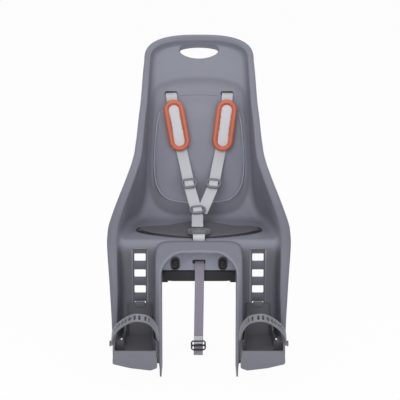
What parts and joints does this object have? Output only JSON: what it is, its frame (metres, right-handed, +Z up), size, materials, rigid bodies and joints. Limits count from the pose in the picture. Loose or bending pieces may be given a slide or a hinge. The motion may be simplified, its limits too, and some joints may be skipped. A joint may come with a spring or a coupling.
{
  "type": "child bike seat",
  "caption": "Bucket-shaped child bicycle seat for a luggage carrier, with high back, harness, seat pad, sliding footrests, foot straps and a clamping base.",
  "frame": {"origin": "middle of the base's underside, on the carrier's deck", "axes": "+Z up, -Y towards the front of the seat, +X to the right as seen from the front"},
  "size_m": [0.3872, 0.4721, 0.6819],
  "materials": {
    "shell_grey": "fine grain, satin",
    "pad_grey": "soft foam skin",
    "rest_grey": "fine grain",
    "strap_grey": "woven webbing",
    "foot_strap_grey": "flexible, satin",
    "black_plastic": "fine grain",
    "orange_trim": "soft satin",
    "insert_fabric": "knitted",
    "adjuster_grey": "satin",
    "belt_fabric": "woven webbing",
    "zinc_steel": "zinc plated",
    "jaw_metal": "powder coat"
  },
  "bodies": {
    "seat": {"belt_keeper": "black_plastic", "buckle_body": "black_plastic", "buckle_tongue": "black_plastic", "carrier_base": "black_plastic", "crotch_anchor": "black_plastic", "crotch_strap": "strap_grey", "front_bolts": "zinc_steel", "front_nuts": "zinc_steel", "junction_adjuster": "adjuster_grey", "left_adjuster": "adjuster_grey", "left_pad_insert": "insert_fabric", "left_shoulder_pad": "orange_trim", "left_shoulder_strap": "strap_grey", "left_strap_keeper": "black_plastic", "lower_strap": "strap_grey", "rear_bolts": "zinc_steel", "rear_nuts": "zinc_steel", "right_adjuster": "adjuster_grey", "right_pad_insert": "insert_fabric", "right_shoulder_pad": "orange_trim", "right_shoulder_strap": "strap_grey", "right_strap_keeper": "black_plastic", "safety_lock": "black_plastic", "safety_strap": "belt_fabric", "seat_pad": "pad_grey", "seat_shell": "shell_grey"},
    "left_rest": {"left_footrest": "rest_grey", "left_foot_catch": "rest_grey", "left_foot_strap": "foot_strap_grey", "left_foot_stud": "foot_strap_grey"},
    "right_rest": {"right_footrest": "rest_grey", "right_foot_catch": "rest_grey", "right_foot_strap": "foot_strap_grey", "right_foot_stud": "foot_strap_grey"},
    "button": {"buckle_button": "adjuster_grey"},
    "spindle": {"clamp_spindle": "zinc_steel", "spindle_collars": "zinc_steel", "clamp_knob": "black_plastic"},
    "left_jaw": {"left_jaw": "jaw_metal"},
    "right_jaw": {"right_jaw": "jaw_metal"}
  },
  "joints": [
    {"name": "left_footrest_slide", "type": "slide", "parent": "seat", "child": "left_rest", "axis": [0, 0.0872, 0.9962], "range_m": [0, 0.1032]},
    {"name": "right_footrest_slide", "type": "slide", "parent": "seat", "child": "right_rest", "axis": [0, 0.0872, 0.9962], "range_m": [0, 0.1032]},
    {"name": "button_press", "type": "slide", "parent": "seat", "child": "button", "axis": [0, -0.0349, -0.9994], "range_m": [0, 0.003], "stiffness_N_per_m": 600},
    {"name": "knob_turn", "type": "hinge", "parent": "seat", "child": "spindle", "pos_m": [0, 0, 0.013], "axis": [1, 0, 0], "range_deg": [-192, 562]},
    {"name": "left_jaw_slide", "type": "slide", "parent": "seat", "child": "left_jaw", "axis": [-1, 0, 0], "range_m": [-0.003, 0.009]},
    {"name": "right_jaw_slide", "type": "slide", "parent": "seat", "child": "right_jaw", "axis": [1, 0, 0], "range_m": [-0.0032, 0.0094]}
  ],
  "couplings": [
    {"joint": "knob_turn", "follows": "left_jaw_slide", "rad_per_m": 1047.2},
    {"joint": "right_jaw_slide", "follows": "left_jaw_slide", "ratio": 1}
  ]
}
